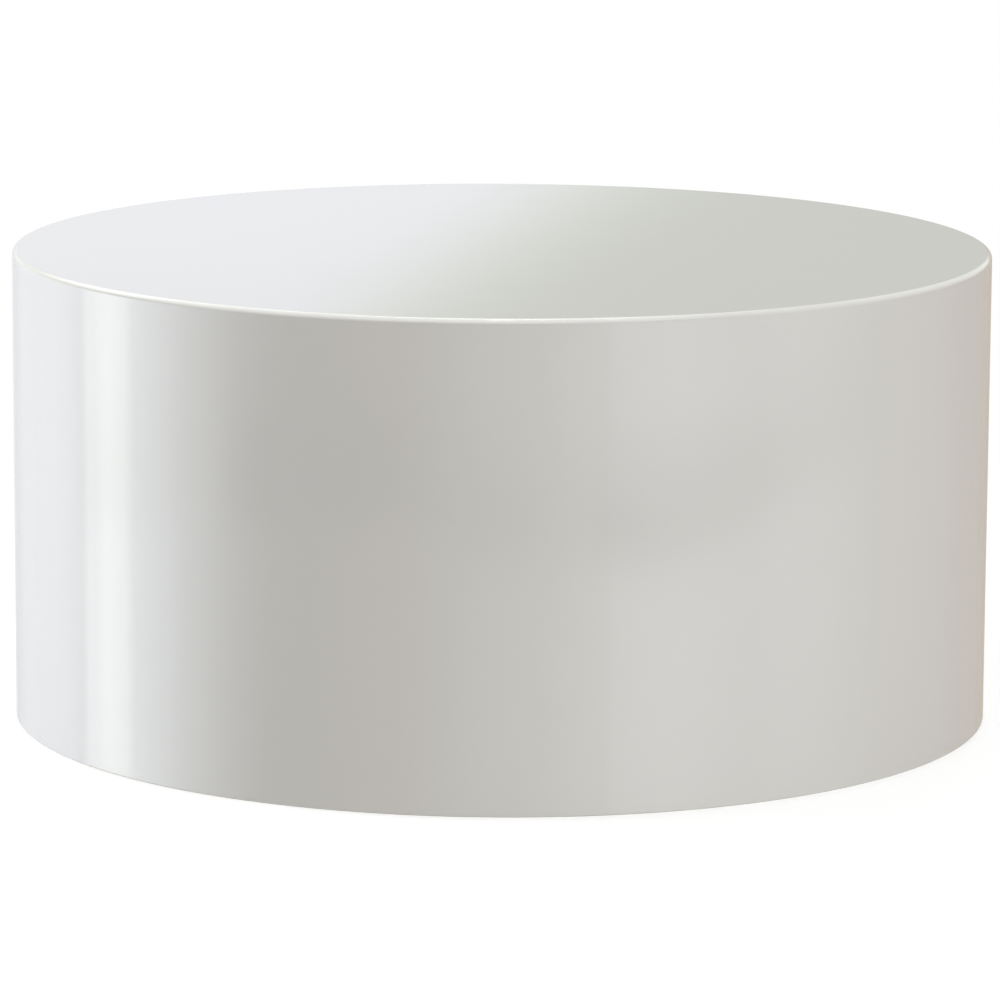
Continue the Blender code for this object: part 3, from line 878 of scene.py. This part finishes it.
# %% Put the feet together
for number in range(1, FOOT_COUNT + 1):
    low, high = (np.array(corner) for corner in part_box(f"leveller_stem_{number}"))
    axis = np.append((low + high)[:2] / 2, 0)
    make_piece(
        f"nylon_pad_{number}",
        skin(axis + turn(pad_profile, full_circle(FOOT_COLUMNS)), rows_close=True, columns_close=False),
        nylon, f"pad_{number}", f"leveller_pad_{number}",
    )
    make_piece(
        f"threaded_insert_{number}",
        skin(axis + turn(insert_profile, full_circle(FOOT_COLUMNS)), rows_close=True, columns_close=True),
        zinc, "table", f"leveller_insert_{number}",
    )
    stem = make_piece(
        f"threaded_stem_{number}",
        skin(axis + stem_grid(low[2], pad_high + FIT_GAP, high[2]), rows_close=False, columns_close=True),
        zinc, f"stem_{number}", f"leveller_stem_{number}",
    )
print("feet:", FOOT_COUNT, "with stems of", len(stem.data.polygons), "faces")

# %% [markdown]
# ## The camera
#
# The photo looks down a little, from about chest height, through a long lens. Five outlines in it fix the
# view: both sides of the wall, the back and the front of the top, and the lower edge. Together they give
# the distance, the height, the tilt and a slight lean of the camera.

# %% Place the camera
IMAGE_PIXELS = 1000
FOCAL_PIXELS = 5915
SENSOR_WIDTH = 36.0
CAMERA_PLACE = (-0.0007, -5.400, 1.190)
CAMERA_TILT_DOWN = math.radians(10.42)
CAMERA_LEAN = math.radians(0.302)

lens = bpy.data.cameras.new("photo_camera")
lens.sensor_width = SENSOR_WIDTH
lens.lens = FOCAL_PIXELS / IMAGE_PIXELS * SENSOR_WIDTH
camera = bpy.data.objects.new("photo_camera", lens)
camera.location = CAMERA_PLACE
tilt = Matrix.Rotation(math.pi / 2 - CAMERA_TILT_DOWN, 3, "X")
lean = Matrix.Rotation(CAMERA_LEAN, 3, "Z")
camera.rotation_euler = (tilt @ lean).to_euler()
bpy.context.scene.collection.objects.link(camera)
bpy.context.scene.camera = camera
print(f"camera: {lens.lens:.1f} mm lens, {-CAMERA_PLACE[1]:.2f} m away")

# %% [markdown]
# ## The floor
#
# A plain pale floor carries the table and takes its soft shadow. The camera sees it white, through a little
# light of its own that only camera rays find. Further out it fades into pure white. From below it is clear,
# so that the frame inside the drum can be looked at. The lacquer mirrors the studio around it and not the
# floor, which would wash the wall out.

# %% Lay the floor
FLOOR_SIZE = 60.0
FLOOR_PALE = "#BEBDBB"
FLOOR_SEEN = "#C4C4C4"
FLOOR_GLOW = 0.62
FADE_START, FADE_END = 0.75, 1.5

half = FLOOR_SIZE / 2
floor_mesh = bpy.data.meshes.new("pale_floor")
floor_corners = [(-half, -half, 0), (half, -half, 0), (half, half, 0), (-half, half, 0)]
floor_mesh.from_pydata(floor_corners, [], [(0, 1, 2, 3)])
floor = bpy.data.objects.new("pale_floor", floor_mesh)
bpy.context.scene.collection.objects.link(floor)
floor.visible_glossy = False
floor.visible_shadow = False

floor_finish, tree, shader, space = new_finish("pale_floor")
path = add_node(tree, "LightPath")
side = add_node(tree, "NewGeometry")
seen = path.outputs["Is Camera Ray"]
tint = add_node(tree, "Mix", {0: seen, 6: FLOOR_PALE, 7: FLOOR_SEEN}, data_type="RGBA")
matt = add_node(tree, "BsdfDiffuse", {"Color": tint})
glow = add_node(tree, "Math", {0: seen, 1: FLOOR_GLOW}, operation="MULTIPLY")
light = add_node(tree, "Emission", {"Color": (1, 1, 1, 1), "Strength": glow})
near = add_node(tree, "AddShader", {0: matt, 1: light})
far = add_node(tree, "Emission", {"Color": (1, 1, 1, 1), "Strength": seen})
away = add_node(tree, "VectorMath", {0: space["Object"]}, operation="LENGTH")
fade = add_node(tree, "MapRange", {0: away, 1: FADE_START, 2: FADE_END}, **SMOOTH)
fade_seen = add_node(tree, "Math", {0: fade, 1: seen}, operation="MULTIPLY")
lit = add_node(tree, "MixShader", {0: fade_seen, 1: near, 2: far})
clear = add_node(tree, "BsdfTransparent")
whole = add_node(tree, "MixShader", {0: side.outputs["Backfacing"], 1: lit, 2: clear})
fill(tree, tree.nodes["Material Output"], {"Surface": whole})
tree.nodes.remove(shader)
floor_mesh.materials.append(floor_finish)
print("floor:", FLOOR_SIZE, "m square")

# %% [markdown]
# ## Lamps
#
# The light is soft and comes from all round, so that no side of the white drum burns out or sinks into
# grey. About half of it is an even glow of the surroundings. Square area lamps at the left, at the front
# right, behind and above add the rest. Their azimuth is 0 in front of the table and 90 at its right. They
# light the lacquer's white and leave its mirror alone, because what the mirror shows is made in the next
# step. One small lamp lies below the clear floor, in the middle, and lights the frame inside the drum.

# %% Hang the lamps
LAMPS = (
    ("left_lamp", -90, 20, 3.4, 1.8, 42.5),
    ("right_lamp", 46, 6.5, 3.4, 1.8, 32.4),
    ("back_lamp", 170, 20, 3.4, 1.8, 23.7),
    ("top_lamp", 0, 88, 3.2, 2.4, 27.0),
    ("underside_lamp", 0, -89, 0.47, 0.35, 4.0),
)
DRUM_MIDDLE = Vector((0, 0, TABLE_HEIGHT / 2))
for name, azimuth, elevation, distance, size, watts in LAMPS:
    data = bpy.data.lights.new(name, "AREA")
    data.size = size
    data.energy = watts
    lamp = bpy.data.objects.new(name, data)
    azimuth, elevation = math.radians(azimuth), math.radians(elevation)
    away = Vector((
        math.sin(azimuth) * math.cos(elevation),
        -math.cos(azimuth) * math.cos(elevation),
        math.sin(elevation),
    ))
    lamp.location = DRUM_MIDDLE + distance * away
    lamp.rotation_euler = away.to_track_quat("Z", "Y").to_euler()
    lamp.visible_glossy = False
    bpy.context.scene.collection.objects.link(lamp)
print("lamps:", ", ".join(lamp[0] for lamp in LAMPS))

# %% [markdown]
# ## What the lacquer mirrors
#
# A round wall shows its surroundings in upright bands, because each point mirrors a direction at twice its
# own angle. So the studio is a ring of lit panels, written as steps of colour round the horizon. The
# bearing of a step is 0 behind the table, -90 at its left and 90 at its right. Seen from above, the wall
# mirrors what lies below the horizon and the flat top what lies above it, so there are two rings. Only
# glossy rays see them. The camera sees white, and diffuse rays an even grey.

# %% Steps of colour
def stepped(tree, place, start, steps):
    """A colour that changes along a value. Each step (edge, softness, colour) blends, over its softness and
    about its edge, from the colour before it to its own."""
    colour = (*start, 1)
    for edge, softness, level in steps:
        share = add_node(
            tree, "MapRange", {0: place, 1: edge - softness / 2, 2: edge + softness / 2}, **SMOOTH
        )
        colour = add_node(tree, "Mix", {0: share, 6: colour, 7: (*level, 1)}, data_type="RGBA")
    return colour


def grey(steps):
    """The same steps with their values as greys."""
    return [(edge, softness, (value,) * 3) for edge, softness, value in steps]


# %% The low ring, for the wall
FRONT_PANEL = (1.55, 1.52, 1.33)
LOW_RING = (
    (-166, 24, (1.05, 0.76, 0.66)),
    (-142, 24, (0.50, 0.38, 0.35)),
    (-106, 45, (4.03, 4.45, 4.87)),
    (-84, 5, (5.40, 5.75, 6.03)),
    (-73, 8, (3.91, 4.14, 4.46)),
    (-66.8, 4.5, (2.51, 2.66, 3.08)),
    (-50, 32, (1.40, 1.47, 1.64)),
    (-28, 26, (0.85, 0.88, 0.92)),
    (0, 10, (0.58, 0.50, 0.42)),
    (36, 30, (0.53, 0.37, 0.32)),
    (62, 30, (0.55, 0.40, 0.38)),
    (95, 40, (1.40, 1.38, 1.40)),
    (130, 30, (2.44, 2.44, 2.44)),
    (155, 2.2, (1.95, 1.92, 1.82)),
    (168, 16, FRONT_PANEL),
)

world = bpy.data.worlds.new("studio")
bpy.context.scene.world = world
world.use_nodes = True
tree = world.node_tree
tree.nodes.remove(tree.nodes["Background"])
direction = add_node(tree, "TexCoord")
parts = add_node(tree, "SeparateXYZ", {0: direction.outputs["Generated"]})
angle = add_node(tree, "Math", {0: parts.outputs["X"], 1: parts.outputs["Y"]}, operation="ARCTAN2")
bearing = add_node(tree, "Math", {0: angle}, operation="DEGREES")
low_colour = stepped(tree, bearing, FRONT_PANEL, LOW_RING)
print("low ring:", len(LOW_RING), "steps of colour")

# %% [markdown]
# ## A dark line round the front
#
# A faint dark line runs round the lower part of the panels, as between a panel and the floor. It grows
# slowly from above and ends quickly below. It lies a little lower in front than at its ends, it is deepest
# at the front left, and it leaves out the left and the back.

# %% The dark line
LINE_ABOVE, LINE_BELOW = 0.025, 0.0075
FRONT_DROP, FRONT_DEPTH = 0.1873, 0.39
DROP_STEPS = ((-167, 30, 0.1798), (0, 40, 0.1685), (114, 70, FRONT_DROP))
DEPTH_STEPS = (
    (-152, 14, 0.92),
    (-116, 12, 0.08),
    (-65, 4, 0.0),
    (84, 30, 0.40),
    (112, 26, 0.64),
    (158, 8, FRONT_DEPTH),
)

drop = stepped(tree, bearing, (FRONT_DROP,) * 3, grey(DROP_STEPS))
depth = stepped(tree, bearing, (FRONT_DEPTH,) * 3, grey(DEPTH_STEPS))
above = add_node(tree, "Math", {0: parts.outputs["Z"], 1: drop}, operation="ADD")
upper_side = add_node(tree, "MapRange", {0: above, 1: 0.0, 2: LINE_ABOVE, 3: 1.0, 4: 0.0}, **SMOOTH)
lower_side = add_node(tree, "MapRange", {0: above, 1: -LINE_BELOW, 2: 0.0}, **SMOOTH)
line = add_node(tree, "Math", {0: upper_side, 1: lower_side}, operation="MULTIPLY")
shade = add_node(tree, "VectorMath", {0: depth, "Scale": line}, operation="SCALE")
left_over = add_node(tree, "VectorMath", {0: (1, 1, 1), 1: shade}, operation="SUBTRACT")
lined = add_node(tree, "VectorMath", {0: low_colour, 1: left_over}, operation="MULTIPLY")
print("dark line:", len(DEPTH_STEPS), "steps of depth")

# %% [markdown]
# ## Calmer further down
#
# The photo's view finds the panels in a narrow belt below the horizon. Further down, where only a higher
# view looks, they fade towards an even grey. Near its outline the wall mirrors nearly everything, so bright
# panels there would burn it out.

# %% Fade the panels
CALM_GREY = (0.9, 0.9, 0.9)
CALM_SHARE = 0.7
CALM_LOW, CALM_HIGH = -0.30, -0.245

calm = add_node(
    tree, "MapRange", {0: parts.outputs["Z"], 1: CALM_LOW, 2: CALM_HIGH, 3: CALM_SHARE, 4: 0.0}, **SMOOTH
)
belt = add_node(tree, "Mix", {0: calm, 6: lined, 7: (*CALM_GREY, 1)}, data_type="RGBA")
print("calmer further down:", CALM_SHARE, "grey")

# %% [markdown]
# ## The high ring
#
# Above the horizon the ring is calm, because a flat top seen at a low angle mirrors more than a third of
# what it faces. It is pale all round, but for one grey card behind the table. The card's edge leans, so
# that it crosses the flat top as a soft diagonal. A card between the pale and the grey one keeps that blend
# from turning pink.

# %% The high ring, for the flat top
PALE_CARD = (0.98, 1.00, 1.075)
BETWEEN_CARD = (0.715, 0.768, 0.70)
GREY_CARD = (0.52, 0.54, 0.495)
SIDE_CARD = (1.20, 1.20, 1.15)
FRONT_CARD = (0.98, 0.98, 0.94)
HIGH_RING = (
    (-115, 40, SIDE_CARD),
    (-14, 12, PALE_CARD),
    (2.0, 2.1, BETWEEN_CARD),
    (2.875, 2.15, GREY_CARD),
    (14, 12, SIDE_CARD),
    (115, 40, FRONT_CARD),
)
LEAN_LOW, LEAN_HIGH = 0.1115, 0.1675
LEAN_DEGREES = 4.91
HORIZON_LOW, HORIZON_HIGH = 0.05, 0.12

lean = add_node(
    tree, "MapRange", {0: parts.outputs["Z"], 1: LEAN_LOW, 2: LEAN_HIGH, 3: 0.0, 4: LEAN_DEGREES}
)
leaning = add_node(tree, "Math", {0: bearing, 1: lean}, operation="ADD")
high_colour = stepped(tree, leaning, FRONT_CARD, HIGH_RING)
high = add_node(tree, "MapRange", {0: parts.outputs["Z"], 1: HORIZON_LOW, 2: HORIZON_HIGH}, **SMOOTH)
rings = add_node(tree, "Mix", {0: high, 6: belt, 7: high_colour}, data_type="RGBA")
print("high ring:", len(HIGH_RING), "steps of colour")

# %% [markdown]
# ## What the rounded edge mirrors
#
# From the flat top to the upright wall the rounded edge mirrors an arc overhead. Such arcs fan out from the
# horizon behind the table, so the panels above are steps along the angle of that fan: a bright one at the
# left, a softer one, a bright one in the middle, and dim ones at the right. Two narrow lamps straight above
# make small sparkles.

# %% The panels overhead
OVERHEAD_LEFT = (4.1, 4.2, 4.1)
OVERHEAD_STEPS = (
    (-62, 5, (4.7, 4.8, 4.7)),
    (-45, 7, (3.9, 3.9, 3.8)),
    (-17, 7, (4.5, 4.5, 4.5)),
    (8, 8, (3.8, 3.8, 3.8)),
    (22, 12, (2.4, 2.4, 2.4)),
    (36, 14, (1.8, 1.8, 1.8)),
)
OVERHEAD_LOW, OVERHEAD_HIGH = 0.27, 0.66
SPARKLE_STEPS = ((-1.5, 1, 2.0), (1.2, 1, 0.0), (12.3, 0.6, 2.0), (13.8, 0.6, 0.0))
SPARKLE_LOW, SPARKLE_HIGH = 0.86, 0.94

from_behind = add_node(tree, "Math", {0: 1.0, 1: parts.outputs["Y"]}, operation="SUBTRACT")
fan_angle = add_node(tree, "Math", {0: parts.outputs["X"], 1: from_behind}, operation="ARCTAN2")
fan = add_node(tree, "Math", {0: fan_angle}, operation="DEGREES")
overhead_colour = stepped(tree, fan, OVERHEAD_LEFT, OVERHEAD_STEPS)
overhead = add_node(tree, "MapRange", {0: parts.outputs["Z"], 1: OVERHEAD_LOW, 2: OVERHEAD_HIGH}, **SMOOTH)
panels = add_node(tree, "Mix", {0: overhead, 6: rings, 7: overhead_colour}, data_type="RGBA")
narrow = stepped(tree, fan, (0, 0, 0), grey(SPARKLE_STEPS))
straight_up = add_node(tree, "MapRange", {0: parts.outputs["Z"], 1: SPARKLE_LOW, 2: SPARKLE_HIGH})
sparkle = add_node(tree, "VectorMath", {0: narrow, "Scale": straight_up}, operation="SCALE")
surroundings = add_node(tree, "VectorMath", {0: panels, 1: sparkle}, operation="ADD")
print("overhead:", len(OVERHEAD_STEPS), "steps of colour")

# %% Who sees which
AMBIENT = 0.38

path = add_node(tree, "LightPath")
even = add_node(tree, "Background", {"Color": (1, 1, 1, 1), "Strength": AMBIENT})
mirrored = add_node(tree, "Background", {"Color": surroundings, "Strength": 1.0})
plain = add_node(tree, "Background", {"Color": (1, 1, 1, 1), "Strength": 1.0})
seen = add_node(tree, "MixShader", {0: path.outputs["Is Glossy Ray"], 1: even, 2: mirrored})
whole = add_node(tree, "MixShader", {0: path.outputs["Is Camera Ray"], 1: seen, 2: plain})
fill(tree, tree.nodes["World Output"], {"Surface": whole})
print("studio:", len(tree.nodes), "nodes")

# %% [markdown]
# ## Finish
#
# The picture is shown without a film curve, so that a colour comes out as it is written.

# %% Finish
bpy.context.scene.view_settings.view_transform = "Standard"
